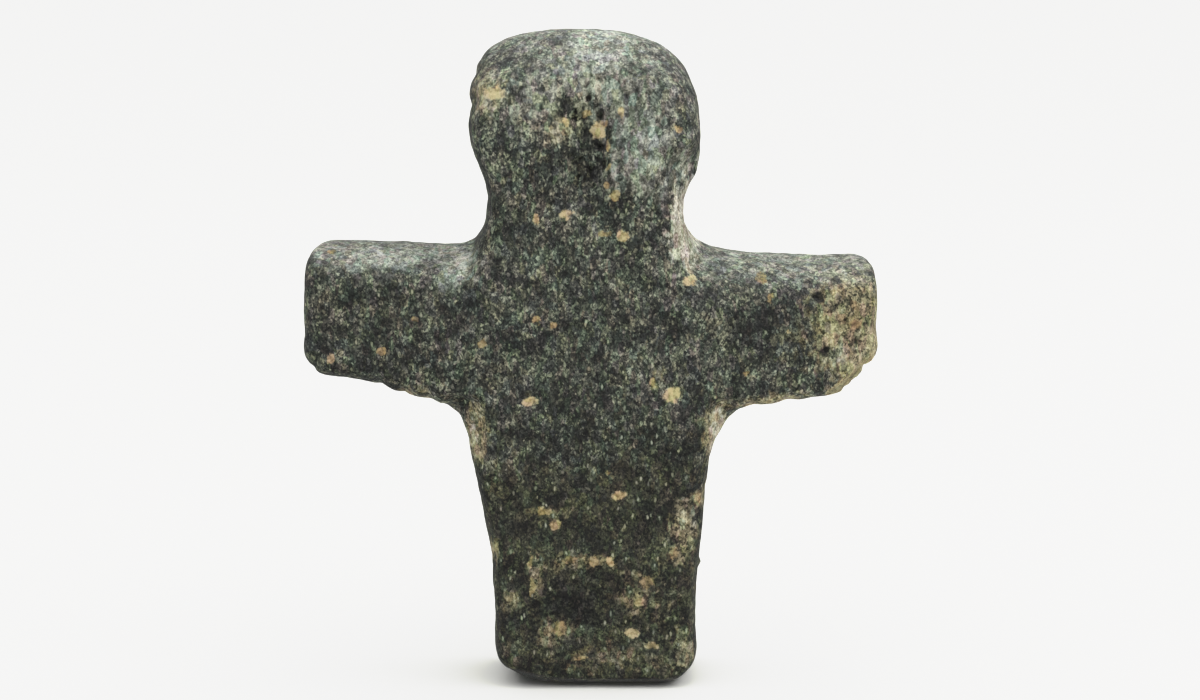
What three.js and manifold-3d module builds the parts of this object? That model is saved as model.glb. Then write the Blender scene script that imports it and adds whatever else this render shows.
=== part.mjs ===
// Cruciform figurine: a standing cross-shaped figure ground out of one block of dark, speckled stone.
// It has a domed head with no features, a short neck, two stub arms and a body that tapers to a flat foot.
// Millimetres, +Z up, the worn front faces -Y, and the origin lies under the middle of the foot.
import * as THREE from "three";
import { mergeVertices } from "three/addons/utils/BufferGeometryUtils.js";
import Module from "manifold-3d";

const wasm = await Module();
wasm.setup();

// Driving dimensions of the front outline. Left and right are the viewer's.
const HEIGHT = 200;
const HEAD = { left: -36.6, right: 33.5, jawLeft: 166, jawRight: 159 };
const NECK = { left: -30.6, right: 27.6, leftZ: 151.5, rightZ: 150.5 };
const SHOULDER = { left: -33.8, right: 28, leftZ: 134.4, rightZ: 131.8 };
const ARM_TIP = { left: -88, right: 88.2, leftTop: 135.6, rightTop: 131, leftLow: 101.8, rightLow: 102 };
const ARMPIT = { left: -39, right: 38.4, leftZ: 84.7, rightZ: 84.3 };
const BODY = { waistLeft: -29.4, waistRight: 31.9, waistZ: 31, footLeft: -30.2, footRight: 33.8 };

// The foot is carved a little too long and then ground flat. Its front corner on the left is worn away.
const FOOT_TRIM = 4;
const FOOT_WEAR = { point: [-6, -18, 0], outward: [-0.25, -0.45, -0.86], size: 60 };

// Broken lower corners of the arms in the outline, and the flake that slopes across the right one.
const RIGHT_BREAK = { top: [83.8, 96.6], low: [76, 89.4] };
const LEFT_BREAK = { low: [-84.2, 95.6], flakeEnd: [-66, 92.8], flakeStep: [-60.5, 90.6] };
const FLAKE = { point: [81.5, -6, 93.5], outward: [0.62, -0.36, -0.7], size: 30 };

// Half thickness in front of and behind the middle plane, by height on the trunk and by reach along the arms.
const TRUNK_FRONT = [[0, 21], [35, 22], [95, 24], [145, 23], [163, 24], [182, 20.5], [HEIGHT, 13]];
const TRUNK_BACK = [[0, 20], [35, 21.5], [95, 23], [145, 21], [163, 22.5], [182, 20], [HEIGHT, 14]];
const ARM_HALF = [[30, 21.5], [60, 20], [88, 18.5]];
const ARM_BLEND = { from: 22, to: 52, fade: 10 };

// How far the edge rounding reaches in from the outline, and how square its section is: on upright edges and
// on edges that face up, by height, and on edges that face down.
const SIDE_REACH = [[0, 6], [60, 6.5], [140, 7], [170, 8], [188, 11], [HEIGHT, 15]];
const SIDE_SQUARENESS = [[0, 3.4], [170, 3.4], [190, 2.4]];
const TOP_REACH = [[SHOULDER.leftZ, 12], [HEIGHT, 15]];
const TOP_SQUARENESS = 2.4;
const LOW_REACH = 6.5;
const LOW_SQUARENESS = 3;

// Shallow worn hollows in the front: centre, half width, half height and depth.
const HOLLOWS = [
  { x: -3, z: 160, wide: 8, tall: 13, deep: 1.8 },
  { x: -62, z: 119, wide: 30, tall: 6, deep: 0.8 },
  { x: 4, z: 24, wide: 17, tall: 12, deep: 0.9 },
];

// How finely the surface is faceted: steps across the trunk, across an arm, and out along each limb.
const ACROSS_TRUNK = 22;
const ACROSS_ARM = 20;
const ALONG = { head: 20, arm: 16, body: 22 };
const OUTLINE_STEPS = 720;

// One corner of the outline, rounded over the given lengths of the edges before and after it.
function corner(x, z, before, after = before) {
  return { at: new THREE.Vector2(x, z), before, after };
}

// The front outline, anticlockwise from the foot's lower right corner.
const corners = {
  footRight: corner(BODY.footRight, -FOOT_TRIM, 16, 17),
  waistRight: corner(BODY.waistRight, BODY.waistZ, 12, 18),
  armpitRight: corner(ARMPIT.right, ARMPIT.rightZ, 16, 11),
  breakLow: corner(...RIGHT_BREAK.low, 2),
  breakTop: corner(...RIGHT_BREAK.top, 3),
  tipLowRight: corner(ARM_TIP.right, ARM_TIP.rightLow, 3),
  tipTopRight: corner(ARM_TIP.right - 1.4, ARM_TIP.rightTop, 9, 7),
  shoulderRight: corner(SHOULDER.right, SHOULDER.rightZ, 22, 13),
  neckRight: corner(NECK.right, NECK.rightZ, 3, 2),
  jawRight: corner(HEAD.right, HEAD.jawRight, 4, 10),
  crownRight: corner(HEAD.right - 0.8, HEIGHT, 30, 31),
  crownLeft: corner(HEAD.left, HEIGHT, 27, 19),
  jawLeft: corner(HEAD.left - 0.4, HEAD.jawLeft, 4, 5),
  neckLeft: corner(NECK.left, NECK.leftZ, 6),
  shoulderLeft: corner(SHOULDER.left, SHOULDER.leftZ, 9, 7),
  tipTopLeft: corner(ARM_TIP.left + 1.7, ARM_TIP.leftTop, 7, 9),
  tipLowLeft: corner(ARM_TIP.left, ARM_TIP.leftLow, 4, 2),
  breakLeft: corner(...LEFT_BREAK.low, 2),
  flakeEnd: corner(...LEFT_BREAK.flakeEnd, 2),
  flakeStep: corner(...LEFT_BREAK.flakeStep, 2),
  armpitLeft: corner(ARMPIT.left, ARMPIT.leftZ, 5, 7),
  waistLeft: corner(BODY.waistLeft, BODY.waistZ, 16, 10),
  footLeft: corner(BODY.footLeft, -FOOT_TRIM, 17, 34),
};

function roundedOutline(list) {
  const shape = new THREE.Shape();
  list.forEach((now, i) => {
    const last = list.at(i - 1).at;
    const next = list[(i + 1) % list.length].at;
    const start = now.at.clone().add(last.clone().sub(now.at).setLength(now.before));
    const end = now.at.clone().add(next.clone().sub(now.at).setLength(now.after));
    if (i === 0) shape.moveTo(start.x, start.y);
    else shape.lineTo(start.x, start.y);
    shape.quadraticCurveTo(now.at.x, now.at.y, end.x, end.y);
  });
  shape.closePath();
  shape.arcLengthDivisions = OUTLINE_STEPS;
  return shape.getSpacedPoints(OUTLINE_STEPS).slice(0, OUTLINE_STEPS);
}

const outline = roundedOutline(Object.values(corners));

function nearestOnOutline({ at }) {
  const lengths = outline.map((p) => p.distanceTo(at));
  return lengths.indexOf(Math.min(...lengths));
}

// A point on the outline, by a share of the way anticlockwise from one of its points to another.
function onOutline(from, to, share) {
  const steps = (to - from + outline.length) % outline.length;
  const place = from + steps * share;
  const before = Math.floor(place);
  const a = outline[before % outline.length];
  const b = outline[(before + 1) % outline.length];
  return a.clone().lerp(b, place - before);
}

// How far a point lies from the outline, and how much the nearest edge faces up.
function nearestEdge(point) {
  const edge = new THREE.Vector2();
  const offset = new THREE.Vector2();
  const nearest = { distance: Infinity, up: 0 };
  outline.forEach((a, i) => {
    edge.subVectors(outline[(i + 1) % outline.length], a);
    offset.subVectors(point, a);
    const share = THREE.MathUtils.clamp(offset.dot(edge) / edge.lengthSq(), 0, 1);
    const distance = offset.addScaledVector(edge, -share).length();
    if (distance < nearest.distance) {
      nearest.distance = distance;
      nearest.up = -edge.x / edge.length();
    }
  });
  return nearest;
}

// A value between stations [place, value], eased so that the surface has no crease at a station.
function along(stations, place) {
  const next = stations.findIndex(([at]) => at >= place);
  if (next === 0) return stations[0][1];
  if (next < 0) return stations.at(-1)[1];
  const [[a, low], [b, high]] = [stations[next - 1], stations[next]];
  return THREE.MathUtils.lerp(low, high, THREE.MathUtils.smoothstep(place, a, b));
}

function halfThickness(trunk, { x, y: z }) {
  const reach = Math.abs(x);
  const armShare = THREE.MathUtils.smoothstep(reach, ARM_BLEND.from, ARM_BLEND.to);
  const armpit = ARMPIT.leftZ;
  const aboveArmpit = THREE.MathUtils.smoothstep(z, armpit - ARM_BLEND.fade, armpit + ARM_BLEND.fade);
  const aboveArm = THREE.MathUtils.smoothstep(z, SHOULDER.leftZ, SHOULDER.leftZ + ARM_BLEND.fade);
  return THREE.MathUtils.lerp(along(trunk, z), along(ARM_HALF, reach), armShare * (aboveArmpit - aboveArm));
}

// The rounded edge: 0 on the outline, 1 where the face begins.
function edgeRise(point) {
  const { distance, up } = nearestEdge(point);
  const endShare = THREE.MathUtils.smoothstep(Math.abs(up), 0.2, 0.95);
  const endReach = up > 0 ? along(TOP_REACH, point.y) : LOW_REACH;
  const endSquareness = up > 0 ? TOP_SQUARENESS : LOW_SQUARENESS;
  const reach = THREE.MathUtils.lerp(along(SIDE_REACH, point.y), endReach, endShare);
  const squareness = THREE.MathUtils.lerp(along(SIDE_SQUARENESS, point.y), endSquareness, endShare);
  const inset = 1 - Math.min(distance / reach, 1);
  return (1 - inset ** squareness) ** (1 / squareness);
}

function hollowDepth({ x, y: z }) {
  return HOLLOWS.reduce((sum, h) => {
    const away = ((x - h.x) / h.wide) ** 2 + ((z - h.z) / h.tall) ** 2;
    return sum + h.deep * Math.exp(-away);
  }, 0);
}

// Shares from 0 to 1 that crowd towards both ends, or towards the far end only.
function crowdBoth(count) {
  return Array.from({ length: count + 1 }, (_, i) => 0.5 - 0.5 * Math.cos((Math.PI * i) / count));
}

function crowdEnd(count) {
  return Array.from({ length: count + 1 }, (_, i) => Math.sin((Math.PI * i) / (2 * count)));
}

// The whole figure as a closed skin: a chest with four limbs around it, each a grid of points with a front
// and a back, which share the points that lie on the outline.
function figureSkin() {
  const positions = [];
  const triangles = [];

  function addPoint(p, isEdge) {
    if (isEdge) {
      const index = positions.push([p.x, 0, p.y]) - 1;
      return { p, front: index, back: index };
    }
    const rise = edgeRise(p);
    const front = rise * (halfThickness(TRUNK_FRONT, p) - hollowDepth(p));
    const back = rise * halfThickness(TRUNK_BACK, p);
    const index = positions.push([p.x, -front, p.y], [p.x, back, p.y]);
    return { p, front: index - 2, back: index - 1 };
  }

  function addQuads(grid, turn) {
    for (let j = 1; j < grid.length; j++) {
      for (let i = 1; i < grid[j].length; i++) {
        const ring = [grid[j - 1][i - 1], grid[j - 1][i], grid[j][i], grid[j][i - 1]];
        const [a, b, c, d] = turn ? ring.reverse() : ring;
        triangles.push(a.front, b.front, c.front, a.front, c.front, d.front);
        triangles.push(a.back, c.back, b.back, a.back, d.back, c.back);
      }
    }
  }

  // A chest point between the four notches of the cross, by shares from left to right and from low to high.
  const notch = Object.fromEntries(
    ["armpitLeft", "armpitRight", "shoulderRight", "shoulderLeft"].map((name) => {
      return [name, nearestOnOutline(corners[name])];
    }),
  );
  const rows = crowdBoth(ACROSS_ARM);
  const columns = crowdBoth(ACROSS_TRUNK);
  const chest = rows.map((v, j) => {
    const left = outline[notch.armpitLeft].clone().lerp(outline[notch.shoulderLeft], v);
    const right = outline[notch.armpitRight].clone().lerp(outline[notch.shoulderRight], v);
    const isEndRow = j === 0 || j === rows.length - 1;
    return columns.map((u, i) => {
      const isEndColumn = i === 0 || i === columns.length - 1;
      return addPoint(left.clone().lerp(right, u), isEndRow && isEndColumn);
    });
  });
  addQuads(chest, false);

  // A limb grows from a seam of the chest to its own end. Each point blends the seam, the sides and the end.
  function addLimb(seam, cornerNames, steps) {
    const [from, first, second, to] = cornerNames.map((name) => nearestOnOutline(corners[name]));
    const across = crowdBoth(seam.length - 1);
    const grid = crowdEnd(steps).map((v, j) => {
      if (j === 0) return seam;
      const near = onOutline(from, first, v);
      const far = onOutline(second, to, 1 - v);
      return across.map((u, i) => {
        if (i === 0) return addPoint(near, true);
        if (i === across.length - 1) return addPoint(far, true);
        const end = onOutline(first, second, u);
        if (j === steps) return addPoint(end, true);
        const straightEnd = outline[first].clone().lerp(outline[second], u);
        const point = near.clone().lerp(far, u).addScaledVector(end.sub(straightEnd), v);
        return addPoint(point, false);
      });
    });
    addQuads(grid, true);
  }

  const top = chest.at(-1).toReversed();
  const leftSide = chest.map((row) => row[0]).reverse();
  const rightSide = chest.map((row) => row.at(-1));
  addLimb(top, ["shoulderRight", "crownRight", "crownLeft", "shoulderLeft"], ALONG.head);
  addLimb(leftSide, ["shoulderLeft", "tipTopLeft", "breakLeft", "armpitLeft"], ALONG.arm);
  addLimb(chest[0], ["armpitLeft", "footLeft", "footRight", "armpitRight"], ALONG.body);
  addLimb(rightSide, ["armpitRight", "breakLow", "tipTopRight", "shoulderRight"], ALONG.arm);

  const skin = new THREE.BufferGeometry();
  skin.setAttribute("position", new THREE.Float32BufferAttribute(positions.flat(), 3));
  skin.setIndex(triangles);
  return skin;
}

function toSolid(geometry) {
  const bare = geometry.clone();
  bare.deleteAttribute("normal");
  bare.deleteAttribute("uv");
  const merged = mergeVertices(bare);
  return new wasm.Manifold(
    new wasm.Mesh({
      numProp: 3,
      vertProperties: merged.attributes.position.array,
      triVerts: new Uint32Array(merged.index.array),
    }),
  );
}

function toGeometry(solid) {
  const mesh = solid.getMesh();
  const geometry = new THREE.BufferGeometry();
  geometry.setAttribute("position", new THREE.BufferAttribute(mesh.vertProperties, 3));
  geometry.setIndex(new THREE.BufferAttribute(mesh.triVerts, 1));
  geometry.computeVertexNormals();
  return geometry;
}

// A block of waste stone. One face lies through the point, square to the direction out of the figure.
function waste({ point, outward, size }) {
  const block = new THREE.BoxGeometry(size, size, size).translate(0, 0, size / 2);
  const turn = new THREE.Quaternion().setFromUnitVectors(
    new THREE.Vector3(0, 0, 1),
    new THREE.Vector3(...outward).normalize(),
  );
  return toSolid(block.applyQuaternion(turn).translate(...point));
}

function carveFigure() {
  const underFoot = waste({ point: [0, 0, 0], outward: [0, 0, -1], size: HEIGHT });
  return toSolid(figureSkin()).subtract(underFoot).subtract(waste(FOOT_WEAR)).subtract(waste(FLAKE));
}

const stone = new THREE.MeshStandardMaterial({ color: 0x4a4c45, roughness: 0.7, metalness: 0 });
const figure = new THREE.Mesh(toGeometry(carveFigure()), stone);
figure.name = "cruciform_figure";

// The box of the finished figure is centred on the origin.
figure.geometry.computeBoundingBox();
const centre = figure.geometry.boundingBox.getCenter(new THREE.Vector3());
figure.position.set(-centre.x, -centre.y, 0);

const figurine = new THREE.Group();
figurine.add(figure);

export default figurine;
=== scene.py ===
# Cruciform figurine in dark speckled stone: its worn skin, its material, the studio and the camera.
import math

import bpy
import numpy as np
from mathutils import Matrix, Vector, noise


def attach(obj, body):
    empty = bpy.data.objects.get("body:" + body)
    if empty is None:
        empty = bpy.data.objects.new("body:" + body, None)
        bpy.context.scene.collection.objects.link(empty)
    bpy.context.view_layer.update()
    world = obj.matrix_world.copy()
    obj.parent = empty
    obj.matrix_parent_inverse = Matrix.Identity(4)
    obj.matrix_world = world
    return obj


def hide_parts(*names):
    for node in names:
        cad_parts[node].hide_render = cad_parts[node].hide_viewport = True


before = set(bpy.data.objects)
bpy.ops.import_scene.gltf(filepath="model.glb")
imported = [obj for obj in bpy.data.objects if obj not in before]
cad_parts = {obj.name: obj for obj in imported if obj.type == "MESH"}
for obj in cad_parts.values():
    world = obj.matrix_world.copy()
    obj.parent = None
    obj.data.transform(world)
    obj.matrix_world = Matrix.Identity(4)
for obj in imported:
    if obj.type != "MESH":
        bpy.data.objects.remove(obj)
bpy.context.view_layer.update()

# Sizes are in millimetres until the mesh is finished. x runs to the viewer's right, z up, the front faces -y.
MM = 0.001

# The net over the solid: how far apart its points are, and how it is softened.
SKIN_STEP = 0.86
SOFTENING = {"factor": 0.5, "rounds": 8}

# Everything that falls by chance starts from this seed. Each noise is shifted so that no two are alike.
CHANCE_SEED = 7
NOISE_SHIFT = 17.3

# The hand-ground surface: how wide and how deep its unevenness is.
GROUND_WAVES = {"wide": 30, "deep": 0.6}
GROUND_FACETS = {"wide": 10, "deep": 0.34}
PECK_MARKS = {"wide": 3.4, "deep": 0.2}
BROKEN_GRAIN = {"wide": 2.3, "deep": 0.55}
# The underside stays flat to stand on: the unevenness grows between these heights.
FOOT_REST = (0.5, 5)

# Bevels ground along the edges: a point on the bevel, the direction it faces, the box it is ground within by
# left, right, low and high, how softly it runs out at the box's sides, and how round its own edges are.
BEVELS = [
    ((23.2, -22.5, 145), (0.75, -0.66, 0.05), (14, 40, 124, 168), 9.0, 2.4),
    ((-31.8, -22.0, 78), (-0.73, -0.68, -0.08), (-46, -28, 66, 92), 4.0, 1.5),
    ((33.6, -22.0, 78), (0.72, -0.69, -0.06), (28, 46, 58, 91), 4.0, 1.5),
    ((27.0, -21.8, 48), (0.46, -0.88, 0.0), (22, 36, 36, 62), 5.0, 2.5),
    ((60, -22.2, 126.5), (0.05, -0.56, 0.83), (24, 92, 104, 140), 9.0, 12.0),
    ((-50, -22.2, 130.0), (0.07, -0.56, 0.83), (-92, -34.8, 106, 142), 1.4, 11.0),
    ((0, -13.0, 0.0), (0.0, -0.4, -0.92), (-60, 60, -10, 24), 4.0, 1.6),
    ((28.0, -16.0, 2.6), (0.62, -0.16, -0.77), (14, 40, -10, 20), 3.0, 3.6),
    ((-26.4, -16.0, 4.6), (-0.42, -0.24, -0.87), (-44, -4, -10, 22), 4.0, 3.2),
]
# They fade out from this far in front of the middle plane back to it.
BEVEL_FADE = 6

# Notches through the edges of the outline: x, z, the direction they are cut in, half their length and depth.
# The last is a burr, which stands out instead.
NOTCHES = [
    (-36.8, 186.0, (1, 0), 2.4, 1.0),
    (-37.0, 176.4, (1, 0.1), 2.8, 0.9),
    (-36.6, 192.5, (1, -0.4), 2.0, 0.5),
    (33.4, 186.0, (-1, -0.2), 3.0, 0.5),
    (-62.5, 91.4, (0.2, 1), 2.6, 0.9),
    (-54.5, 89.4, (0.2, 1), 2.0, 0.8),
    (-47.5, 87.2, (0.3, 1), 2.2, 0.7),
    (-84.8, 96.4, (0.7, 0.7), 2.0, 0.8),
    (-88.0, 108.0, (1, 0.1), 3.0, 0.4),
    (50.0, 86.6, (-0.1, 1), 3.0, 0.7),
    (62.0, 88.0, (-0.1, 1), 2.4, 0.6),
    (84.4, 97.6, (-0.7, 0.7), 1.6, 1.0),
    (88.0, 112.0, (-1, 0), 4.0, 0.4),
    (-29.6, 40.0, (1, 0), 5.0, 0.35),
    (32.0, 62.0, (-1, 0), 5.0, 0.4),
    (32.2, 37.2, (-1, 0), 1.0, -0.9),
]
# A notch runs slanted and uneven through the thickness, and draws the stone in up to this far from the edge.
NOTCH_RUN = {"slant": 0.12, "sway": 2.2, "sway_wide": 9, "reach": (1.5, 6)}
# The stone is fresh at the notch's edge and towards the front, with an uneven border.
NOTCH_FRESH = {"most": 0.5, "deep": (0.3, 1.4), "front": (2, 16), "sway": 9, "sway_wide": 7}
# The burr's middle and half its length through the thickness.
BURR = {"y": -9, "half": 3}

# Chips off the edges, the last three at the back: a place on the edge, the direction of the blow, its radius
# and its depth.
CHIPS = [
    ((-36.2, -20, 181), (1, 0.8, 0), 4.5, 0.9),
    ((-36.4, -20, 171), (1, 0.9, 0.1), 4.0, 0.8),
    ((-60.0, -19, 91.5), (0.1, 0.8, 0.7), 5.0, 1.0),
    ((-50.0, -20, 88.5), (0.2, 0.8, 0.7), 4.4, 0.9),
    ((-86.0, -17, 99.5), (0.8, 0.7, 0.4), 4.6, 0.8),
    ((50.0, -20, 87.2), (-0.2, 0.8, 0.7), 5.0, 0.9),
    ((66.0, -19, 89.0), (-0.1, 0.8, 0.7), 4.2, 0.8),
    ((86.6, -16, 102.5), (-0.8, 0.7, 0.2), 4.0, 1.0),
    ((77.5, -16, 90.5), (-0.3, 0.8, 0.7), 3.6, 0.9),
    ((32.6, -19, 178), (-1, 0.8, 0), 4.0, 0.7),
    ((32.4, 18, 30), (-1, -0.8, 0), 5.0, 1.0),
    ((-30.4, 18, 52), (1, -0.8, 0), 5.5, 1.1),
    ((60.0, 17, 129), (0, -0.8, -0.7), 5.0, 1.0),
]
# How ragged a chip's rim and floor are, how many radii deep it is looked for, and how fresh its stone is.
CHIP_RIM = {"ragged": 0.4, "wide": 3.5}
CHIP_FLOOR = {"ragged": 0.25, "wide": 2.4, "reach": 2.5}
CHIP_FRESH = {"most": 0.6, "deep": (0.05, 0.3)}

# Worn hollows and swellings of the front: x, z, half width, half height and depth, below 0 for a swelling.
FRONT_HOLLOWS = [
    (-3, 162, 7, 12, 0.9),
    (3, 171, 4, 4, 0.7),
    (2.7, 175.4, 1.5, 2.0, 1.3),
    (4.9, 170.0, 1.0, 3.4, 1.2),
    (-1.6, 169.8, 1.2, 2.8, 1.0),
    (2.4, 165.4, 2.0, 1.2, 1.0),
    (68.5, 120, 2.2, 2.0, 1.2),
    (70.5, 104, 2.2, 1.8, 1.1),
    (-5, 27, 12, 11, 0.6),
    (-12, 41.5, 20, 2.6, -0.6),
    (13, 164, 8, 15, -0.8),
    (-26, 178, 9, 8, -0.5),
    (0, 88, 26, 9, -0.5),
    (16, 30, 9, 8, -0.4),
    (-62, 100, 16, 6, -0.4),
    (58, 104, 14, 7, -0.4),
]

# Pits: how many, and where, as middle x, middle z, half width and half height, then the widest and deepest.
PIT_FIELDS = [
    (70, (-2, 166, 6, 14), 1.4, 1.1),
    (120, (0, 172, 30, 24), 1.2, 0.45),
    (260, (0, 110, 80, 26), 0.9, 0.3),
    (160, (0, 46, 28, 44), 0.9, 0.3),
    (26, (72, 112, 14, 12), 1.3, 0.6),
]
# How they crowd to the middle of their field, how small and shallow they can be, and their ragged shape.
PIT_SHAPE = {"crowd": 0.5, "smallest": 0.55, "shallowest": 0.3, "tall": 1.25, "rim": (0.35, 1.15)}
PIT_RAGGED = {"sway": 0.9, "wide": 1.9}
# The deeper ones are darkened with painted shade.
PIT_SHADE = {"most": 0.55, "deep": (0.2, 0.9)}

# The step where the face hollow breaks off sharply: its place, where it begins and ends by height, how far it
# reaches to the left, how sharp its edge is, and how it wobbles.
FACE_STEP = {"x": 4.0, "low": (144, 152), "high": (170, 178), "reach": 12, "deep": 1.1, "edge": 1.2}
FACE_STEP_WOBBLE = {"sway": 1.3, "wide": 5}

# Upright scratches on the viewer's right of the face, with the soft borders of the part they cover.
SCRATCHES = {"left": (2, 7), "right": (24, 30), "low": (132, 146), "high": (174, 188), "deep": 0.2}
# They are about 2.3 mm apart and several times as long.
SCRATCH_RUN = np.array((1 / 2.3, 0.1, 0.07))

# How squarely the surface must face forward to take the hollows, and the pits.
HOLLOW_FACING = (0.2, 0.7)
PIT_FACING = (0.1, 0.5)

# The flake off the right arm's lower corner, as the solid has it, and how far from its middle it reaches.
FLAKE_POINT = np.array((81.5, -6, 93.5))
FLAKE_OUTWARD = np.array((0.62, -0.36, -0.7)) / np.linalg.norm((0.62, -0.36, -0.7))
FLAKE_REACH = 26
# The net is ground back to just above its plane. A point lies on it when it is near and faces as it does.
FLAKE_SPARE = 0.2
FLAKE_FACE = {"height": (0.5, 1.1), "facing": (0.75, 0.92)}

# Pale and tan crystals that can be told apart on the front: x, z, half width and half height.
CRYSTALS = [
    (4.4, 172.5, 0.8, 1.8), (4.8, 165.5, 0.7, 2.2), (5.0, 159.5, 0.7, 1.8), (4.6, 154.5, 0.8, 1.6),
    (-1.6, 175.2, 1.6, 1.4), (-7.6, 172.8, 1.2, 1.2), (25.9, 170.9, 1.4, 1.4), (7.0, 151.3, 1.5, 2.2),
    (-16.6, 144, 1.2, 2.0), (4.0, 139.6, 2.6, 0.9), (51.1, 125.8, 2.2, 1.8), (53.8, 120.4, 1.3, 1.8),
    (-16.3, 114, 1.5, 1.5), (-11.5, 112.5, 1.3, 1.4), (18.4, 95.3, 1.3, 2.0), (-32.8, 106.5, 1.8, 1.4),
    (-63.1, 104, 1.2, 1.4), (-53.2, 113.7, 1.2, 1.0), (-78.4, 133.1, 1.6, 1.2), (-78.7, 101.6, 1.6, 1.8),
    (46.3, 97.7, 1.1, 1.4), (79.3, 112.2, 2.2, 1.8), (59.2, 109.8, 1.0, 1.0), (-14.5, 55.5, 3.0, 1.6),
    (-10.8, 51.2, 2.4, 1.8), (4.6, 67.4, 1.4, 1.0), (8.2, 60.2, 2.4, 1.6), (-6.1, 40.5, 2.6, 1.5),
    (0.7, 39.9, 1.5, 1.6), (-18.4, 40, 0.8, 3.2), (-18.0, 31.5, 1.0, 4.0), (18.1, 13.5, 2.2, 1.4),
    (-10, 18.7, 2.6, 2.4), (16.9, 33.5, 2.6, 2.2), (14.5, 27.5, 1.6, 1.6), (25.3, 42.3, 1.6, 2.4),
    (-3.0, 9.5, 2.6, 0.8),
]

# The palest crystals, in the same way.
BRIGHT_CRYSTALS = [
    (2.0, 170.4, 2.3, 3.2), (9.1, 175.8, 1.4, 2.2), (-28.9, 181.5, 4.0, 2.2), (24.1, 91.3, 2.6, 2.8),
    (-18.4, 89.2, 2.6, 1.6), (12.4, 17.5, 2.6, 2.0), (5.5, 39.9, 1.4, 1.8), (-7.6, 145.5, 2.6, 1.8),
    (9.4, 139.2, 1.8, 2.2), (29.8, 125.8, 2.4, 2.0),
]

# How ragged the crystals are, how squarely their side must face, and how pale the others can be.
CRYSTAL_SHAPE = {"ragged": 0.9, "wide": 2.4, "facing": 0.3, "paleness": 0.8}

# Soft patches of weathering, painted sheen and painted shade on the front: x, z, half width, half height and
# strength.
PATINA_PATCHES = [
    (80, 112, 16, 18, 0.72), (79, 101, 9, 8, 0.7), (66, 107, 10, 10, 0.36), (-35, 79, 3.4, 9, 1.0),
    (38, 78, 4.4, 11, 0.9), (-8, 172, 16, 8, 0.36), (-30, 182, 8, 9, 0.52), (16, 30, 11, 9, 0.4),
    (-11, 19, 9, 7, 0.4), (28, 48, 5, 12, 0.55), (-17, 36, 4, 9, 0.4), (26, 144, 4.5, 13, 0.5),
    (-12, 55, 8, 4, 0.4), (-54, 90, 9, 4, 0.45), (56, 88, 14, 4, 0.55), (6, 9, 28, 6, 0.32),
    (20, 95, 8, 7, 0.2), (0, 184, 30, 14, 0.35), (-4, 40, 14, 3, 0.42), (28, 13, 4, 9, 0.46),
    (-25, 27, 4, 4, 0.44), (-31, 17, 3, 8, 0.32),
]
# Pale dust, with painted sheen on the crown and along the tops of the arms.
DUST_AND_SHEEN_PATCHES = [
    (4, 197, 12, 10, 1.0), (15, 166, 10, 16, 0.62), (12, 176, 20, 20, 0.5), (26, 160, 6, 9, 0.5),
    (-18, 182, 18, 16, 0.42), (-41, 130, 7, 8, 0.8), (-62, 132, 26, 5, 0.66), (0, 190, 30, 12, 0.56),
    (36, 131, 8, 7, 0.5), (64, 127, 16, 4, 0.25), (29, 54, 4, 7, 0.36), (38, 80, 4, 9, 0.36),
    (-28, 184, 8, 8, 0.4), (6, 184, 24, 9, 0.5), (74, 103, 6, 4, 0.45),
]
# Everything that faces up is made paler: dust, and painted top light and sheen.
UPWARD_DUST_AND_LIGHT = {"facing": (0.3, 1.0), "most": 0.44}
# Dark stains, with painted shade where they sit in the worn hollows and crevices.
STAIN_AND_SHADE_PATCHES = [
    (-2, 160, 7, 11, 0.32), (2.7, 175.4, 1.4, 1.8, 0.9), (4.9, 170, 0.9, 3.2, 0.9),
    (-1.6, 169.8, 1.0, 2.4, 0.8), (2.4, 165.4, 2.4, 1.2, 0.8), (-25, 173, 8, 4, 0.35),
    (-5, 27, 12, 10, 0.6), (-62, 114, 26, 12, 0.38), (52, 112, 16, 8, 0.45),
    (68.5, 120, 2.4, 2.2, 0.65), (70.5, 104, 2.4, 2, 0.6), (0, 79, 26, 5, 0.3),
    (-23, 22, 6, 5, 0.45), (4, 12, 30, 5, 0.2),
]

# A patch begins where the surface turns this far to its side, and is full this much further round.
PATCH_TURN = -0.15
PATCH_FADE = 0.5

# Edges scuffed pale, in the same way. They reach further round the edge.
SCUFFED_TURN = -0.6
SCUFFED_EDGES = [
    (28.6, 142, 4.8, 13, 1.1), (38, 80, 3.0, 9, 0.4), (-35, 79, 2.2, 8, 0.36), (-40, 131, 5, 5, 0.4),
]

# Rough, pitted parts of the front, in the same way.
ROUGH_PATCHES = [
    (-2, 165, 14, 16, 1.0), (0, 176, 32, 22, 0.6), (76, 110, 16, 16, 0.8), (0, 112, 40, 26, 0.3),
    (-60, 112, 26, 18, 0.3), (16, 26, 14, 12, 0.45), (-12, 20, 12, 10, 0.45),
]

# Pale dust caught in upright streaks on the viewer's right of the face: the part they cover, their width,
# depth and height, and the share of the noise that shows.
DUST_STREAKS = {"part": (14, 162, 11, 20, 0.78), "size": (2.4, 8, 17), "shown": (0.05, 0.45)}

# The head keeps the upright streaks of its grinding, more and more from the neck up.
HEAD_STREAKS = (138, 160)

# The back, which the photograph does not show, is weathered by chance: how many crystals and soft patches,
# and how large and strong they are.
BACK = {"crystals": 40, "patina": 9, "dust_and_sheen": 5, "stain_and_shade": 8}
BACK_CRYSTAL_SIZE = (1.0, 2.6)
BACK_PATCH_SIZE = (5, 13)
BACK_PATCH_STRENGTH = 0.5
# The outline they are kept within: the arms' reach, the heights of the whole and of the arms, and the trunk's
# half width.
OUTLINE = {"reach": 82, "low": 6, "high": 194, "trunk": 27, "arm_low": 94, "arm_high": 126}

# The body is worn darker and smoother from its middle down to the foot, with an uneven border.
WORN_BODY = {"height": (34, 108), "most": 0.8, "sway": 14, "wide": 24}

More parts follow.
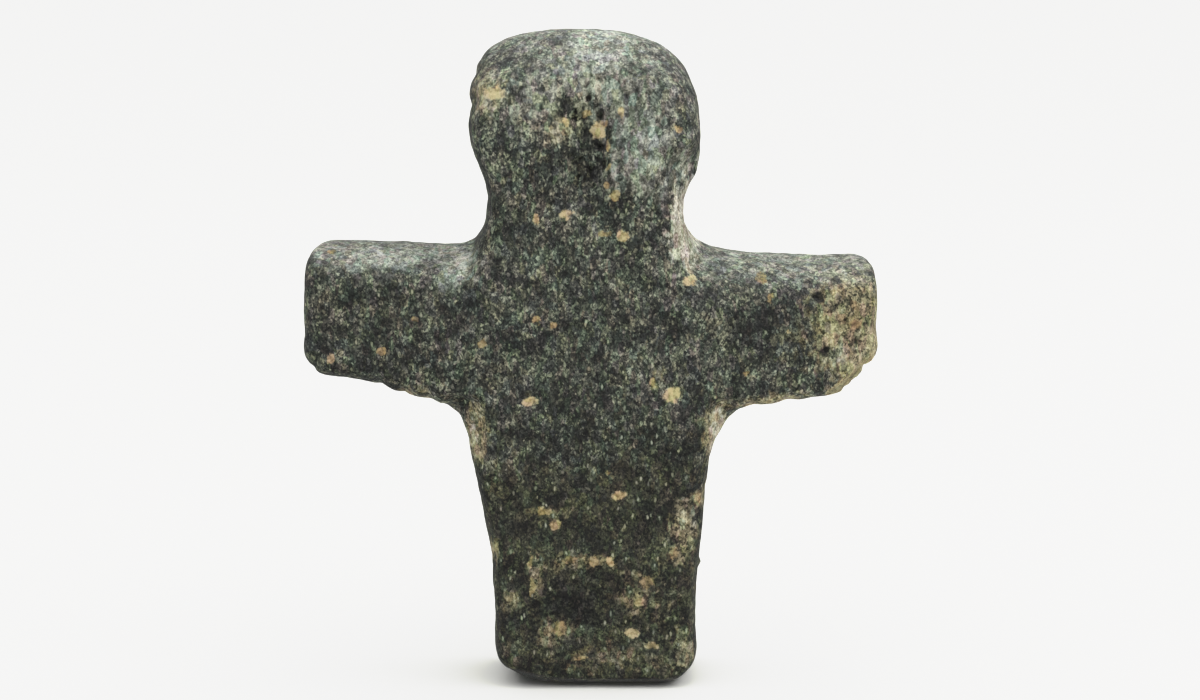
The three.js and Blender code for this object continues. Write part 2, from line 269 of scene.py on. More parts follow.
# The stone's patterns. Each scale is one over the size of a grain or a swell.
GRAINS = {"Scale": 1 / 0.8}
FINE_GRAINS = {"Scale": 1 / 0.4}
CLUSTERS = {"Scale": 1 / 5, "Detail": 1.5, "Roughness": 0.6}
CLOUDS = {"Scale": 1 / 18, "Detail": 2.0, "Roughness": 0.6}
STREAKS = {"Scale": 1 / 1.3, "Detail": 1.0}
BLOTCHES = {"Scale": 1 / 3.2, "Detail": 2.0, "Roughness": 0.55}
GRIT = {"Scale": 1 / 3.5, "Detail": 4.0, "Roughness": 0.75}
TICKS = {"Scale": 1 / 1.7}
CRUMBS = {"Scale": 1 / 1.6, "Detail": 3.0, "Roughness": 0.7}
PITS = {"Scale": 1 / 2.6}
# Squeezing the height by these shares draws grains, streaks and ticks taller than wide.
UPRIGHT_GRAIN = (1, 1, 0.75)
UPRIGHT_STREAK = (1, 1, 0.16)
UPRIGHT_TICK = (1, 1, 0.5)
# The ticks' net is turned and drawn astray, so that no rows show.
TICK_TURN = (0.6, 0.5, 0.4)
TICK_ASTRAY = (1.4, 1.4, 1.4)
# How large a tick, a painted glint, is in its cell and which cells have a bright one.
TICK_SIZE = {"From Min": 0.26, "From Max": 0.12}
TICK_CHOICE = {"From Min": 0.55, "From Max": 1.0, "To Max": 0.8}
# How crumbled a crystal's rim is, where the rim lies, and how its crumbs differ in tone.
CRUMBLE = 1.4
CRYSTAL_RIM = {"From Min": 0.68, "From Max": 1.06, "To Max": 0.92}
CRUMB_TONE = {"From Min": 0.36, "From Max": 0.62}
# How wide a pit is in its cell and how dark the painted shade at its bottom is.
PIT_SIZE = {"From Min": 0.4, "From Max": 0.1}
PIT_SHADE_MOST = {"To Max": 0.8}
# How rough the darkest and the palest fine grains are, how far grains stand out beside the grit, how deep the
# whole relief is, and how the stone mirrors light.
SHEEN = {"To Min": 0.66, "To Max": 0.46}
GRAIN_RELIEF = 0.7
RELIEF = 1.4
GLOSS = {"IOR": 1.54, "Specular IOR Level": 0.4}

# How much each pattern counts: finer grains, clusters, each grain's own hold on dirt, a crystal's paleness
# and each grain's hue.
FINE_SHARE = 0.5
CLUSTER_SHARE = 0.28
HOLD_SHARE = 0.22
PALE_SHARE = 0.45
HUE_SHARE = 0.15
# How far clouds and streaks make the grains lighter or darker.
CLOUD_DRIFT = 0.07
STREAK_DRIFT = 0.09
# Most of a noise lies between these values.
NOISE_SPAN = {"From Min": 0.3, "From Max": 0.7}

# The paper roll behind the figure, in metres, and its colour.
BACKDROP = {"front": 3.0, "flat": 2.0, "bend": 2.0, "top": 3.0, "wide": 5.0}
PAPER = "#f1f1ec"

# The studio's lights, in metres, watts and degrees.
EVEN_FILL = {"colour": "#fbfcff", "strength": 0.32}
CEILING = {"strength": 3.6, "spread": 110, "place": (0.07, -0.04, 1)}
SIDE_SOFTBOX = {"place": (1.5, -0.2, 1.25), "aim": (0, 0, 0.1), "side": 1.6, "watts": 8}

# The stone's grains from the darkest mineral to the palest, clean and under each weathering, painted shade
# and sheen.
FINISHES = {
    "clean": [
        (0.2, "#131411"), (0.34, "#20241e"), (0.5, "#373b33"),
        (0.62, "#52564a"), (0.74, "#797c68"), (0.9, "#b0b399"),
    ],
    "worn": [
        (0.2, "#12120d"), (0.34, "#1c1d16"), (0.5, "#2e3023"),
        (0.65, "#434532"), (0.8, "#5e6048"), (0.92, "#808164"),
    ],
    "stain_and_shade": [(0.25, "#0a0b08"), (0.5, "#1b1c16"), (0.75, "#404136")],
    "patina": [(0.22, "#363322"), (0.38, "#666146"), (0.5, "#908663"), (0.64, "#b0a57c"), (0.82, "#d3caa5")],
    "dust_and_sheen": [(0.25, "#5b6054"), (0.4, "#81877a"), (0.5, "#9aa092"), (0.62, "#b3b8a9"), (0.8, "#d5d9ca")],
    "scuffed": [(0.25, "#736e58"), (0.5, "#c0bba6"), (0.72, "#eae7da")],
    "broken": [(0.25, "#6a5f3e"), (0.5, "#a0936a"), (0.75, "#c9bd92")],
    "crystal": [(0.1, "#4a3f26"), (0.35, "#83724c"), (0.58, "#ae9a6b"), (0.85, "#d6c599")],
}
# Where a kind of weathering, painted shade or painted sheen begins and is full, with the stone's mottle added
# to twice its cover. Dust with its painted sheen lies thinner and more evenly than the others.
COVER_WEIGHT = 2.0
FINISH_EDGE = (0.85, 1.6)
FINISH_EDGES = {"dust_and_sheen": (0.8, 2.0)}
# The colour of the bright ticks, which are painted glints.
GLINT_TICK = "#c4c0aa"
# The painted shade at the bottom of pits.
PIT_SHADE_COLOUR = "#11120e"

# How the camera renders brightness: it keeps the darks and rolls off what is brighter than white paper.
CAMERA_WHITE = 2.0
CAMERA_RESPONSE = [(0.1, 0.2), (0.2, 0.395), (0.3, 0.595), (0.42, 0.835), (0.6, 0.905), (1.0, 0.94)]

# The photograph's camera: how far off the figure's middle, how many degrees above it, its lens, and its aim.
CAMERA = {"middle": 100, "away": 850, "above": 8, "aim": (2.6, 0, 101.75)}
LENS = {"length": 82.8, "sensor": 36, "near": 10}


def colour(code):
    """An sRGB hex value as linear red, green and blue, with a full alpha."""
    shares = [int(code[i : i + 2], 16) / 255 for i in (1, 3, 5)]
    return [*(s / 12.92 if s <= 0.04045 else ((s + 0.055) / 1.055) ** 2.4 for s in shares), 1.0]


def ease(values, start, end):
    """0 before start, 1 after end, and a smooth rise between them."""
    share = np.clip((values - start) / (end - start), 0, 1)
    return share * share * (3 - 2 * share)


def wander(points, wide, turn=0):
    """Smooth noise between about -1 and 1 at each point, with swells of the given width."""
    shifted = points / wide + turn * NOISE_SHIFT
    return np.array([noise.noise(Vector(p)) for p in shifted])


def patches(points, normals, places, turn=PATCH_TURN):
    """How strongly soft patches of the front cover each point, up to where the surface turns away from it."""
    cover = np.zeros(len(points))
    for x, z, wide, tall, strength in places:
        away = ((points[:, 0] - x) / wide) ** 2 + ((points[:, 2] - z) / tall) ** 2
        cover = np.maximum(cover, strength * np.exp(-away))
    return cover * ease(-normals[:, 1], turn, turn + PATCH_FADE)


def even_net(solid):
    """A copy of the carved solid with points all over it, close enough together to carry its wear."""
    skin = bpy.data.objects.new("stone_figure", solid.data.copy())
    bpy.context.scene.collection.objects.link(skin)
    net = skin.modifiers.new("even_net", "REMESH")
    net.mode = "VOXEL"
    net.voxel_size = SKIN_STEP * MM
    soften = skin.modifiers.new("soften", "SMOOTH")
    soften.factor = SOFTENING["factor"]
    soften.iterations = SOFTENING["rounds"]
    seen = skin.evaluated_get(bpy.context.evaluated_depsgraph_get())
    mesh = bpy.data.meshes.new_from_object(seen)
    skin.modifiers.clear()
    skin.data = mesh
    skin.data.materials.clear()
    return skin


def read_points(mesh):
    flat = np.zeros(len(mesh.vertices) * 3)
    mesh.vertices.foreach_get("co", flat)
    return flat.reshape(-1, 3) / MM


def read_normals(mesh):
    flat = np.zeros(len(mesh.vertices) * 3)
    mesh.vertex_normals.foreach_get("vector", flat)
    return flat.reshape(-1, 3)


def write_points(mesh, points):
    mesh.vertices.foreach_set("co", (points * MM).ravel())
    mesh.update()


def inside_box(points, box, soft):
    """1 well inside a box by x and z, 0 outside it, and a soft run-out between."""
    left, right, low, high = box
    across = ease(points[:, 0], left, left + soft) * (1 - ease(points[:, 0], right - soft, right))
    return across * ease(points[:, 2], low, low + soft) * (1 - ease(points[:, 2], high - soft, high))


def grind(points, point, outward, share, soft):
    """Takes what stands out of a plane back to it, by a share at each point, with a rounded edge."""
    outward = np.array(outward) / np.linalg.norm(outward)
    height = (points - np.array(point)) @ outward
    rounded = np.where(np.abs(height) < soft, (height + soft) ** 2 / (4 * soft), np.maximum(height, 0))
    points -= outward * (rounded * share)[:, None]


def grind_bevels(points):
    """Grinds each bevel along the front edges, and the flake off the right arm."""
    for point, outward, box, run_out, soft in BEVELS:
        front = ease(-points[:, 1], 0, BEVEL_FADE)
        grind(points, point, outward, inside_box(points, box, run_out) * front, soft)
    near_flake = np.linalg.norm(points - FLAKE_POINT, axis=1) < FLAKE_REACH
    plane = FLAKE_POINT + FLAKE_SPARE * FLAKE_OUTWARD
    grind(points, plane, FLAKE_OUTWARD, near_flake.astype(float), FLAKE_SPARE)


def cut_notches(points):
    """Draws the outline in at each notch, through the whole thickness, and tells how broken each point is."""
    broken = np.zeros(len(points))
    uneven = NOTCH_RUN["sway"] * wander(points, NOTCH_RUN["sway_wide"], 43)
    for x, z, inward, half, deep in NOTCHES:
        inward = np.array(inward) / np.linalg.norm(inward)
        across = points[:, (0, 2)] - np.array((x, z))
        depth = across @ inward
        aside = across @ np.array((-inward[1], inward[0]))
        if deep > 0:
            aside = aside + NOTCH_RUN["slant"] * points[:, 1] + uneven
        share = np.exp(-((aside / half) ** 2)) * (1 - ease(np.abs(depth), *NOTCH_RUN["reach"]))
        if deep < 0:
            share *= np.exp(-(((points[:, 1] - BURR["y"]) / BURR["half"]) ** 2))
        points[:, 0] += inward[0] * deep * share
        points[:, 2] += inward[1] * deep * share
        broken = np.maximum(broken, share * (1 - ease(depth, *NOTCH_FRESH["deep"])))
    border = NOTCH_FRESH["sway"] * wander(points, NOTCH_FRESH["sway_wide"], 33)
    return broken * ease(-points[:, 1] + border, *NOTCH_FRESH["front"])


def strike_chips(points):
    """Knocks a shallow round chip off the edge at each place, and tells how broken each point is."""
    broken = np.zeros(len(points))
    ragged = 1 + CHIP_RIM["ragged"] * wander(points, CHIP_RIM["wide"], 35)
    for place, inward, radius, deep in CHIPS:
        inward = np.array(inward) / np.linalg.norm(inward)
        out = points - (np.array(place) - inward * (radius - deep))
        along = out @ inward
        aside = np.linalg.norm(out - along[:, None] * inward, axis=1) * ragged
        near = np.flatnonzero((aside < radius) & (np.abs(along) < CHIP_FLOOR["reach"] * radius))
        uneven = CHIP_FLOOR["ragged"] * wander(points[near], CHIP_FLOOR["wide"], 9)
        floor = np.sqrt(radius**2 - aside[near] ** 2) + uneven
        sunk = np.maximum(floor - along[near], 0)
        points[near] += inward * sunk[:, None]
        broken[near] = np.maximum(broken[near], ease(sunk, *CHIP_FRESH["deep"]))
    return broken


def peck_pits(points, normals, chance):
    """Small pits scattered over the front, and how deep in one each point lies."""
    sunk = np.zeros(len(points))
    front = ease(-normals[:, 1], *PIT_FACING)
    ragged_x = points[:, 0] + PIT_RAGGED["sway"] * wander(points, PIT_RAGGED["wide"], 41)
    ragged_z = points[:, 2] + PIT_RAGGED["sway"] * wander(points, PIT_RAGGED["wide"], 42)
    for count, (middle_x, middle_z, wide, tall), widest, deepest in PIT_FIELDS:
        for _ in range(count):
            x = middle_x + wide * np.clip(chance.normal(0, PIT_SHAPE["crowd"]), -1, 1)
            z = middle_z + tall * np.clip(chance.normal(0, PIT_SHAPE["crowd"]), -1, 1)
            radius = widest * chance.uniform(PIT_SHAPE["smallest"], 1)
            deep = deepest * chance.uniform(PIT_SHAPE["shallowest"], 1)
            away = np.hypot((ragged_x - x) / radius, (ragged_z - z) / (radius * PIT_SHAPE["tall"]))
            sunk = np.maximum(sunk, deep * (1 - ease(away, *PIT_SHAPE["rim"])))
    points[:, 1] += sunk * front
    return sunk * front


def carve_front(points, normals):
    """The worn hollows and swellings of the front, the step beside the face hollow, and the scratches."""
    front = ease(-normals[:, 1], *HOLLOW_FACING)
    x = points[:, 0]
    z = points[:, 2]
    sunk = np.zeros(len(points))
    for middle_x, middle_z, wide, tall, deep in FRONT_HOLLOWS:
        sunk += deep * np.exp(-(((x - middle_x) / wide) ** 2) - ((z - middle_z) / tall) ** 2)

    step = FACE_STEP
    wobble = FACE_STEP_WOBBLE["sway"] * wander(points, FACE_STEP_WOBBLE["wide"], 3)
    left_of_step = ease(step["x"] + wobble - x, 0, step["edge"])
    left_of_step *= 1 - ease(step["x"] - x, step["edge"], step["reach"])
    in_height = ease(z, *step["low"]) * (1 - ease(z, *step["high"]))
    sunk += step["deep"] * left_of_step * in_height

    marks = SCRATCHES
    wave = wander(points * SCRATCH_RUN, 1, 5)
    within = ease(x, *marks["left"]) * (1 - ease(x, *marks["right"]))
    within *= ease(z, *marks["low"]) * (1 - ease(z, *marks["high"]))
    sunk += marks["deep"] * wave * within
    points[:, 1] += sunk * front


def roughen(points, normals, broken):
    """The unevenness of a hand-ground, pecked block, rougher where it is broken and none under the foot."""
    lift = np.zeros(len(points))
    for turn, wear in enumerate((GROUND_WAVES, GROUND_FACETS, PECK_MARKS)):
        lift += wear["deep"] * wander(points, wear["wide"], turn)
    lift += BROKEN_GRAIN["deep"] * broken * wander(points, BROKEN_GRAIN["wide"], 7)
    standing = ease(points[:, 2], *FOOT_REST)
    points += normals * (lift * standing)[:, None]


def on_flake(points, normals):
    """How surely each point lies on the flake's broken face."""
    height = np.abs((points - FLAKE_POINT) @ FLAKE_OUTWARD)
    near = (1 - ease(height, *FLAKE_FACE["height"])) * ease(normals @ FLAKE_OUTWARD, *FLAKE_FACE["facing"])
    return near * (np.linalg.norm(points - FLAKE_POINT, axis=1) < FLAKE_REACH)


def scatter(chance, count, smallest, largest):
    """Places within the figure's outline, as x, z, half width and half height."""
    places = []
    while len(places) < count:
        x = chance.uniform(-OUTLINE["reach"], OUTLINE["reach"])
        z = chance.uniform(OUTLINE["low"], OUTLINE["high"])
        if abs(x) < OUTLINE["trunk"] or OUTLINE["arm_low"] < z < OUTLINE["arm_high"]:
            places.append((x, z, *chance.uniform(smallest, largest, 2)))
    return places


def crystal_field(points, normals, chance):
    """Above 0 inside the crystals and falling off evenly outside them, and how pale each one is."""
    field = np.full(len(points), -1.0)
    pale = np.zeros(len(points))
    sways = [wander(points, CRYSTAL_SHAPE["wide"], turn) for turn in (11, 12, 13)]
    warped = points + CRYSTAL_SHAPE["ragged"] * np.stack(sways, axis=1)
    spots = [(*spot, -1, 1.0) for spot in BRIGHT_CRYSTALS]
    spots += [(*spot, -1, chance.uniform(0, CRYSTAL_SHAPE["paleness"])) for spot in CRYSTALS]
    behind = scatter(chance, BACK["crystals"], *BACK_CRYSTAL_SIZE)
    spots += [(*spot, 1, chance.uniform(0, 1)) for spot in behind]
    for x, z, wide, tall, side, paleness in spots:
        away = np.hypot((warped[:, 0] - x) / wide, (warped[:, 2] - z) / tall)
        inside = np.where(side * normals[:, 1] > CRYSTAL_SHAPE["facing"], 1 - away, -1)
        pale = np.where(inside > field, paleness, pale)
        field = np.maximum(field, inside)
    return field, pale


def keep(mesh, name, values):
    """Stores one number for each point of the mesh, for the material to read."""
    layer = mesh.attributes.new(name, "FLOAT", "POINT")
    layer.data.foreach_set("value", np.asarray(values, dtype=np.float32))


def carve_skin(solid):
    """The worn figure: the net is ground, struck and pitted; its points store weathering, painted shade and
    sheen.
    """
    skin = even_net(solid)
    mesh = skin.data
    points = read_points(mesh)
    grind_bevels(points)
    notched = NOTCH_FRESH["most"] * cut_notches(points)
    broken = np.maximum(notched, CHIP_FRESH["most"] * strike_chips(points))
    write_points(mesh, points)
    normals = read_normals(mesh)
    carve_front(points, normals)
    broken = np.maximum(broken, on_flake(points, normals))
    roughen(points, normals, broken)
    chance = np.random.default_rng(CHANCE_SEED)
    pitted = peck_pits(points, normals, chance)
    points[:, 2] = np.maximum(points[:, 2], 0)
    write_points(mesh, points)
    normals = read_normals(mesh)

    crystal, pale = crystal_field(points, normals, chance)
    keep(mesh, "crystal", crystal)
    keep(mesh, "pale", pale)
    behind = {}
    for kind in ("patina", "dust_and_sheen", "stain_and_shade"):
        spots = scatter(chance, BACK[kind], *BACK_PATCH_SIZE)
        behind[kind] = patches(points, -normals, [(*spot, BACK_PATCH_STRENGTH) for spot in spots])
    keep(mesh, "patina", np.maximum(patches(points, normals, PATINA_PATCHES), behind["patina"]))
    # Faces turned up are made paler: dust, and painted top light and sheen.
    upward_dust_and_light = UPWARD_DUST_AND_LIGHT["most"] * ease(normals[:, 2], *UPWARD_DUST_AND_LIGHT["facing"])
    streaks = wander(points / np.array(DUST_STREAKS["size"]), 1, 21)
    streaked = patches(points, normals, [DUST_STREAKS["part"]]) * ease(streaks, *DUST_STREAKS["shown"])
    dust_and_sheen_cover = np.maximum(patches(points, normals, DUST_AND_SHEEN_PATCHES), upward_dust_and_light)
    keep(mesh, "dust_and_sheen", np.maximum.reduce([dust_and_sheen_cover, streaked, behind["dust_and_sheen"]]))
    keep(mesh, "rough", patches(points, normals, ROUGH_PATCHES))
    # Dark stains, with painted shade in the worn hollows and the deeper pits.
    stain_and_shade_cover = np.maximum(patches(points, normals, STAIN_AND_SHADE_PATCHES), behind["stain_and_shade"])
    keep(mesh, "stain_and_shade", np.maximum(stain_and_shade_cover, PIT_SHADE["most"] * ease(pitted, *PIT_SHADE["deep"])))
    keep(mesh, "scuffed", patches(points, normals, SCUFFED_EDGES, SCUFFED_TURN))
    keep(mesh, "streaked", ease(points[:, 2], *HEAD_STREAKS))
    keep(mesh, "broken", broken)
    height = points[:, 2] + WORN_BODY["sway"] * wander(points, WORN_BODY["wide"], 31)
    keep(mesh, "worn", WORN_BODY["most"] * (1 - ease(height, *WORN_BODY["height"])))
    mesh.polygons.foreach_set("use_smooth", np.ones(len(mesh.polygons), dtype=bool))
    return skin


def add(tree, kind, settings=None, inputs=None, stops=None):
    """Adds a node. An input is a value or another node's output. Stops are a ramp's places and colours."""
    node = tree.nodes.new(kind)
    for name, value in (settings or {}).items():
        setattr(node, name, value)
    for socket, value in (inputs or {}).items():
        if isinstance(value, bpy.types.NodeSocket):
            tree.links.new(value, node.inputs[socket])
        else:
            node.inputs[socket].default_value = value
    if stops:
        ramp = node.color_ramp.elements
        while len(ramp) < len(stops):
            ramp.new(0.5)
        for element, (place, code) in zip(ramp, stops):
            element.position = place
            element.color = colour(code)
    return node


def new_material(name):
    material = bpy.data.materials.new(name)
    material.use_nodes = True
    material.node_tree.nodes.clear()
    return material, material.node_tree


def grow_grains(tree, mm):
    """The stone's coarse and fine grains: the tone of both, of the fine ones, and their hold on dirt."""
    # The grain runs up and down the block, so it is drawn taller than wide.
    upright = add(
        tree, "ShaderNodeVectorMath", {"operation": "MULTIPLY"}, {0: mm, 1: UPRIGHT_GRAIN},
    ).outputs[0]
    coarse = add(tree, "ShaderNodeTexVoronoi", {}, {"Vector": upright, **GRAINS}).outputs["Color"]
    fine = add(tree, "ShaderNodeTexVoronoi", {}, {"Vector": upright, **FINE_GRAINS}).outputs["Color"]
    coarse_tone = add(tree, "ShaderNodeSeparateColor", {}, {"Color": coarse}).outputs[0]
    fine_tone = add(tree, "ShaderNodeSeparateColor", {}, {"Color": fine}).outputs[0]
    both = add(
        tree, "ShaderNodeMix", {"data_type": "FLOAT"}, {0: FINE_SHARE, 2: coarse_tone, 3: fine_tone},
    ).outputs[0]
    hold = add(tree, "ShaderNodeSeparateColor", {}, {"Color": coarse}).outputs[2]
    return both, fine_tone, hold


def shade_grains(tree, mm, grains):
    """Makes the grains paler and darker in clusters, in broad clouds and in the head's grinding streaks."""
    cluster = add(tree, "ShaderNodeTexNoise", {}, {"Vector": mm, **CLUSTERS}).outputs["Fac"]
    spread = add(tree, "ShaderNodeMapRange", {"clamp": False}, {"Value": cluster, **NOISE_SPAN}).outputs[0]
    tone = add(
        tree, "ShaderNodeMix", {"data_type": "FLOAT"}, {0: CLUSTER_SHARE, 2: grains, 3: spread},
    ).outputs[0]

    cloud = add(tree, "ShaderNodeTexNoise", {}, {"Vector": mm, **CLOUDS}).outputs["Fac"]
    drift = add(
        tree, "ShaderNodeMapRange", {"clamp": False},
        {"Value": cloud, **NOISE_SPAN, "To Min": -CLOUD_DRIFT, "To Max": CLOUD_DRIFT},
    ).outputs[0]
    tone = add(tree, "ShaderNodeMath", {"operation": "ADD"}, {0: tone, 1: drift}).outputs[0]

    combed = add(
        tree, "ShaderNodeVectorMath", {"operation": "MULTIPLY"}, {0: mm, 1: UPRIGHT_STREAK},
    ).outputs[0]
    streak = add(tree, "ShaderNodeTexNoise", {}, {"Vector": combed, **STREAKS}).outputs["Fac"]
    lean = add(
        tree, "ShaderNodeMapRange", {"clamp": False},
        {"Value": streak, **NOISE_SPAN, "To Min": -STREAK_DRIFT, "To Max": STREAK_DRIFT},
    ).outputs[0]
    head = add(tree, "ShaderNodeAttribute", {"attribute_name": "streaked"}).outputs["Fac"]
    return add(tree, "ShaderNodeMath", {"operation": "MULTIPLY_ADD"}, {0: lean, 1: head, 2: tone}).outputs[0]


def weather_grains(tree, mm, tone, hold):
    """The grains' colours clean and under each weathering, painted shade and sheen, which take some grains
    first.
    """
    blot = add(tree, "ShaderNodeTexNoise", {}, {"Vector": mm, **BLOTCHES}).outputs["Fac"]
    blotch = add(tree, "ShaderNodeMapRange", {}, {"Value": blot, **NOISE_SPAN}).outputs[0]
    mottle = add(
        tree, "ShaderNodeMix", {"data_type": "FLOAT"}, {0: HOLD_SHARE, 2: blotch, 3: hold},
    ).outputs[0]
    rock = add(tree, "ShaderNodeValToRGB", {}, {"Fac": tone}, FINISHES["clean"]).outputs[0]
    for name in ("worn", "patina", "dust_and_sheen", "stain_and_shade", "scuffed", "broken"):
        cover = add(tree, "ShaderNodeAttribute", {"attribute_name": name}).outputs["Fac"]
        edge = add(
            tree, "ShaderNodeMath", {"operation": "MULTIPLY_ADD"}, {0: cover, 1: COVER_WEIGHT, 2: mottle},
        ).outputs[0]
        start, full = FINISH_EDGES.get(name, FINISH_EDGE)
        share = add(
            tree, "ShaderNodeMapRange", {"interpolation_type": "SMOOTHSTEP"},
            {"Value": edge, "From Min": start, "From Max": full},
        ).outputs[0]
        weathered = add(tree, "ShaderNodeValToRGB", {}, {"Fac": tone}, FINISHES[name]).outputs[0]
        rock = add(tree, "ShaderNodeMix", {"data_type": "RGBA"}, {0: share, 6: rock, 7: weathered}).outputs[2]
    return rock


def set_crystals(tree, mm, rock):
    """Tan crystals that can be told apart, crumbled and with a ragged rim."""
    crystal = add(tree, "ShaderNodeAttribute", {"attribute_name": "crystal"}).outputs["Fac"]
    crumb = add(tree, "ShaderNodeTexNoise", {}, {"Vector": mm, **CRUMBS}).outputs["Fac"]
    ragged = add(
        tree, "ShaderNodeMath", {"operation": "MULTIPLY_ADD"}, {0: crumb, 1: CRUMBLE, 2: crystal},
    ).outputs[0]
    inside = add(
        tree, "ShaderNodeMapRange", {"interpolation_type": "SMOOTHSTEP"}, {"Value": ragged, **CRYSTAL_RIM},
    ).outputs[0]
    pale = add(tree, "ShaderNodeAttribute", {"attribute_name": "pale"}).outputs["Fac"]
    crumbs = add(tree, "ShaderNodeMapRange", {}, {"Value": crumb, **CRUMB_TONE}).outputs[0]
    paler = add(tree, "ShaderNodeMix", {"data_type": "FLOAT"}, {0: PALE_SHARE, 2: crumbs, 3: pale}).outputs[0]
    feldspar = add(tree, "ShaderNodeValToRGB", {}, {"Fac": paler}, FINISHES["crystal"]).outputs[0]
    return add(tree, "ShaderNodeMix", {"data_type": "RGBA"}, {0: inside, 6: rock, 7: feldspar}).outputs[2]


def ground_diorite():
    """Fine-grained dark diorite, pecked to shape and ground: near-black and grey-green grains of about a
    millimetre with pale feldspar ticks, painted glints, give it a salt-and-pepper look; its sheen is soft and
    broken."""
    material, tree = new_material("ground_diorite")
    place = add(tree, "ShaderNodeTexCoord").outputs["Object"]
    mm = add(tree, "ShaderNodeVectorMath", {"operation": "SCALE"}, {0: place, "Scale": 1 / MM}).outputs[0]
    grains, fine_tone, hold = grow_grains(tree, mm)
    tone = shade_grains(tree, mm, grains)
    rock = weather_grains(tree, mm, tone, hold)

    # Bright ticks: painted glints, drawn as small pale feldspars, one in a few grains.
    grit = add(tree, "ShaderNodeTexNoise", {}, {"Vector": mm, **GRIT})
    slender = add(
        tree, "ShaderNodeVectorMath", {"operation": "MULTIPLY"}, {0: mm, 1: UPRIGHT_TICK},
    ).outputs[0]
    turned = add(
        tree, "ShaderNodeVectorRotate", {"rotation_type": "EULER_XYZ"},
        {"Vector": slender, "Rotation": TICK_TURN},
    ).outputs[0]
    astray = add(
        tree, "ShaderNodeVectorMath", {"operation": "MULTIPLY_ADD"},
        {0: grit.outputs["Color"], 1: TICK_ASTRAY, 2: turned},
    ).outputs[0]
    flecks = add(tree, "ShaderNodeTexVoronoi", {}, {"Vector": astray, **TICKS}).outputs
    small = add(tree, "ShaderNodeMapRange", {}, {"Value": flecks["Distance"], **TICK_SIZE}).outputs[0]
    pick = add(tree, "ShaderNodeSeparateColor", {}, {"Color": flecks["Color"]}).outputs[1]
    lit = add(tree, "ShaderNodeMapRange", {}, {"Value": pick, **TICK_CHOICE}).outputs[0]
    glint = add(tree, "ShaderNodeMath", {"operation": "MULTIPLY"}, {0: small, 1: lit}).outputs[0]
    rock = add(
        tree, "ShaderNodeMix", {"data_type": "RGBA"}, {0: glint, 6: rock, 7: colour(GLINT_TICK)},
    ).outputs[2]
    rock = set_crystals(tree, mm, rock)

    # Each grain leans a little to green, blue, pink or tan.
    rock = add(
        tree, "ShaderNodeMix", {"data_type": "RGBA", "blend_type": "SOFT_LIGHT"},
        {0: HUE_SHARE, 6: rock, 7: flecks["Color"]},
    ).outputs[2]

    # Pits of 1 to 2 mm where the surface is rough, with painted shade at the bottom.
    pits = add(tree, "ShaderNodeTexVoronoi", {}, {"Vector": astray, **PITS}).outputs["Distance"]
    hole = add(tree, "ShaderNodeMapRange", {}, {"Value": pits, **PIT_SIZE}).outputs[0]
    rough = add(tree, "ShaderNodeAttribute", {"attribute_name": "rough"}).outputs["Fac"]
    sunk = add(tree, "ShaderNodeMath", {"operation": "MULTIPLY"}, {0: hole, 1: rough}).outputs[0]
    shaded_pit = add(tree, "ShaderNodeMapRange", {}, {"Value": sunk, **PIT_SHADE_MOST}).outputs[0]
    rock = add(
        tree, "ShaderNodeMix", {"data_type": "RGBA"}, {0: shaded_pit, 6: rock, 7: colour(PIT_SHADE_COLOUR)},
    ).outputs[2]

    # Pale grains are polished a little more, and grains, grit and pits stand in low relief.
    shine = add(tree, "ShaderNodeMapRange", {}, {"Value": fine_tone, **SHEEN}).outputs[0]
    height = add(
        tree, "ShaderNodeMath", {"operation": "MULTIPLY_ADD"},
        {0: grains, 1: GRAIN_RELIEF, 2: grit.outputs["Fac"]},
    ).outputs[0]
    height = add(tree, "ShaderNodeMath", {"operation": "SUBTRACT"}, {0: height, 1: sunk}).outputs[0]
    bump = add(
        tree, "ShaderNodeBump", {}, {"Height": height, "Distance": RELIEF * MM, "Strength": 1.0},
    ).outputs[0]
    surface = add(
        tree, "ShaderNodeBsdfPrincipled", {},
        {"Base Color": rock, "Roughness": shine, "Normal": bump, **GLOSS},
    )
    add(tree, "ShaderNodeOutputMaterial", {}, {"Surface": surface.outputs[0]})
    return material


def pale_paper():
    """Matt white paper: a plain, even ground with no sheen."""
    material, tree = new_material("pale_paper")
    surface = add(
        tree, "ShaderNodeBsdfPrincipled", {},
        {"Base Color": colour(PAPER), "Roughness": 0.95, "Specular IOR Level": 0.1},
    )
    add(tree, "ShaderNodeOutputMaterial", {}, {"Surface": surface.outputs[0]})
    return material


def lay_backdrop():
    """A roll of paper: flat under the figure, then curving up far behind it."""
    bends = [math.radians(a) for a in range(0, 91, 6)]
    side = [(-BACKDROP["front"], 0.0)]
    for bend in bends:
        back = BACKDROP["flat"] + BACKDROP["bend"] * math.sin(bend)
        up = BACKDROP["bend"] * (1 - math.cos(bend))
        side.append((back, up))
    side.append((side[-1][0], BACKDROP["top"]))
    half = BACKDROP["wide"] / 2
    corners = [(x, y, z) for y, z in side for x in (-half, half)]
    strips = [(2 * i, 2 * i + 1, 2 * i + 3, 2 * i + 2) for i in range(len(side) - 1)]
    mesh = bpy.data.meshes.new("paper_backdrop")
    mesh.from_pydata(corners, [], strips)
    mesh.polygons.foreach_set("use_smooth", np.ones(len(strips), dtype=bool))
    mesh.materials.append(pale_paper())
    backdrop = bpy.data.objects.new("paper_backdrop", mesh)
    bpy.context.scene.collection.objects.link(backdrop)
    # The stone is too matt to mirror the paper.
    backdrop.visible_glossy = False


def point_at(thing, target):
    thing.rotation_euler = (Vector(target) - thing.location).to_track_quat("-Z", "Y").to_euler()


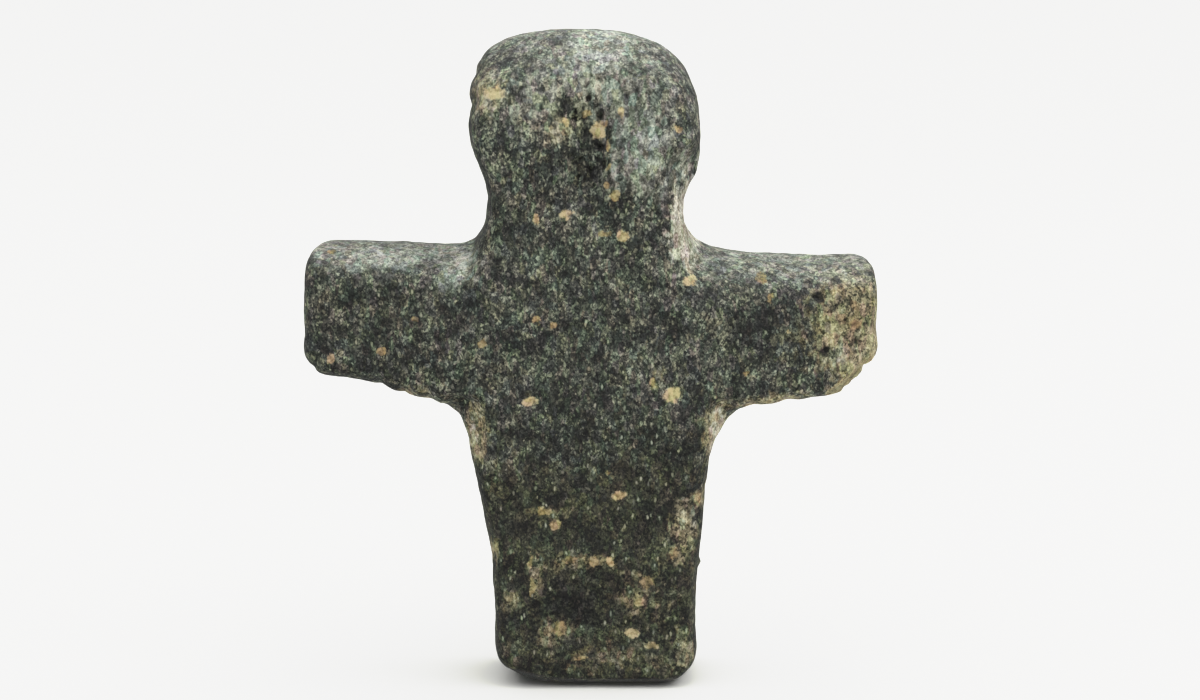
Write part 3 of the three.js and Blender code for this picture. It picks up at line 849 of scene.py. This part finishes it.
def light_studio():
    """A wide ceiling light, a softbox high on the right and a dim even fill."""
    scene = bpy.context.scene
    world = bpy.data.worlds.new("studio")
    world.use_nodes = True
    sky = world.node_tree.nodes["Background"]
    sky.inputs["Color"].default_value = colour(EVEN_FILL["colour"])
    sky.inputs["Strength"].default_value = EVEN_FILL["strength"]
    scene.world = world

    lamp = bpy.data.lights.new("ceiling_light", "SUN")
    lamp.energy = CEILING["strength"]
    lamp.angle = math.radians(CEILING["spread"])
    ceiling = bpy.data.objects.new("ceiling_light", lamp)
    ceiling.location = CEILING["place"]
    point_at(ceiling, (0, 0, 0))
    scene.collection.objects.link(ceiling)

    lamp = bpy.data.lights.new("side_softbox", "AREA")
    lamp.shape = "SQUARE"
    lamp.size = SIDE_SOFTBOX["side"]
    lamp.energy = SIDE_SOFTBOX["watts"]
    softbox = bpy.data.objects.new("side_softbox", lamp)
    softbox.location = SIDE_SOFTBOX["place"]
    point_at(softbox, SIDE_SOFTBOX["aim"])
    scene.collection.objects.link(softbox)


def set_camera():
    """The camera where the photograph was taken from."""
    scene = bpy.context.scene
    lens = bpy.data.cameras.new("photo_camera")
    lens.sensor_width = LENS["sensor"]
    lens.lens = LENS["length"]
    lens.clip_start = LENS["near"] * MM
    camera = bpy.data.objects.new("photo_camera", lens)
    above = math.radians(CAMERA["above"])
    height = CAMERA["middle"] + CAMERA["away"] * math.sin(above)
    camera.location = Vector((0, -CAMERA["away"] * math.cos(above), height)) * MM
    point_at(camera, Vector(CAMERA["aim"]) * MM)
    scene.collection.objects.link(camera)
    scene.camera = camera


def develop_picture():
    """The camera's own response: true darks, and a soft roll-off above white paper."""
    view = bpy.context.scene.view_settings
    view.view_transform = "Standard"
    view.use_curve_mapping = True
    response = view.curve_mapping
    response.white_level = (CAMERA_WHITE, CAMERA_WHITE, CAMERA_WHITE)
    curve = response.curves[3]
    curve.points[-1].location = CAMERA_RESPONSE[-1]
    for place in CAMERA_RESPONSE[:-1]:
        curve.points.new(*place)
    response.update()


figure = carve_skin(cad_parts["cruciform_figure"])
figure.data.materials.append(ground_diorite())
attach(figure, "root")
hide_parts("cruciform_figure")
lay_backdrop()
light_studio()
set_camera()
develop_picture()
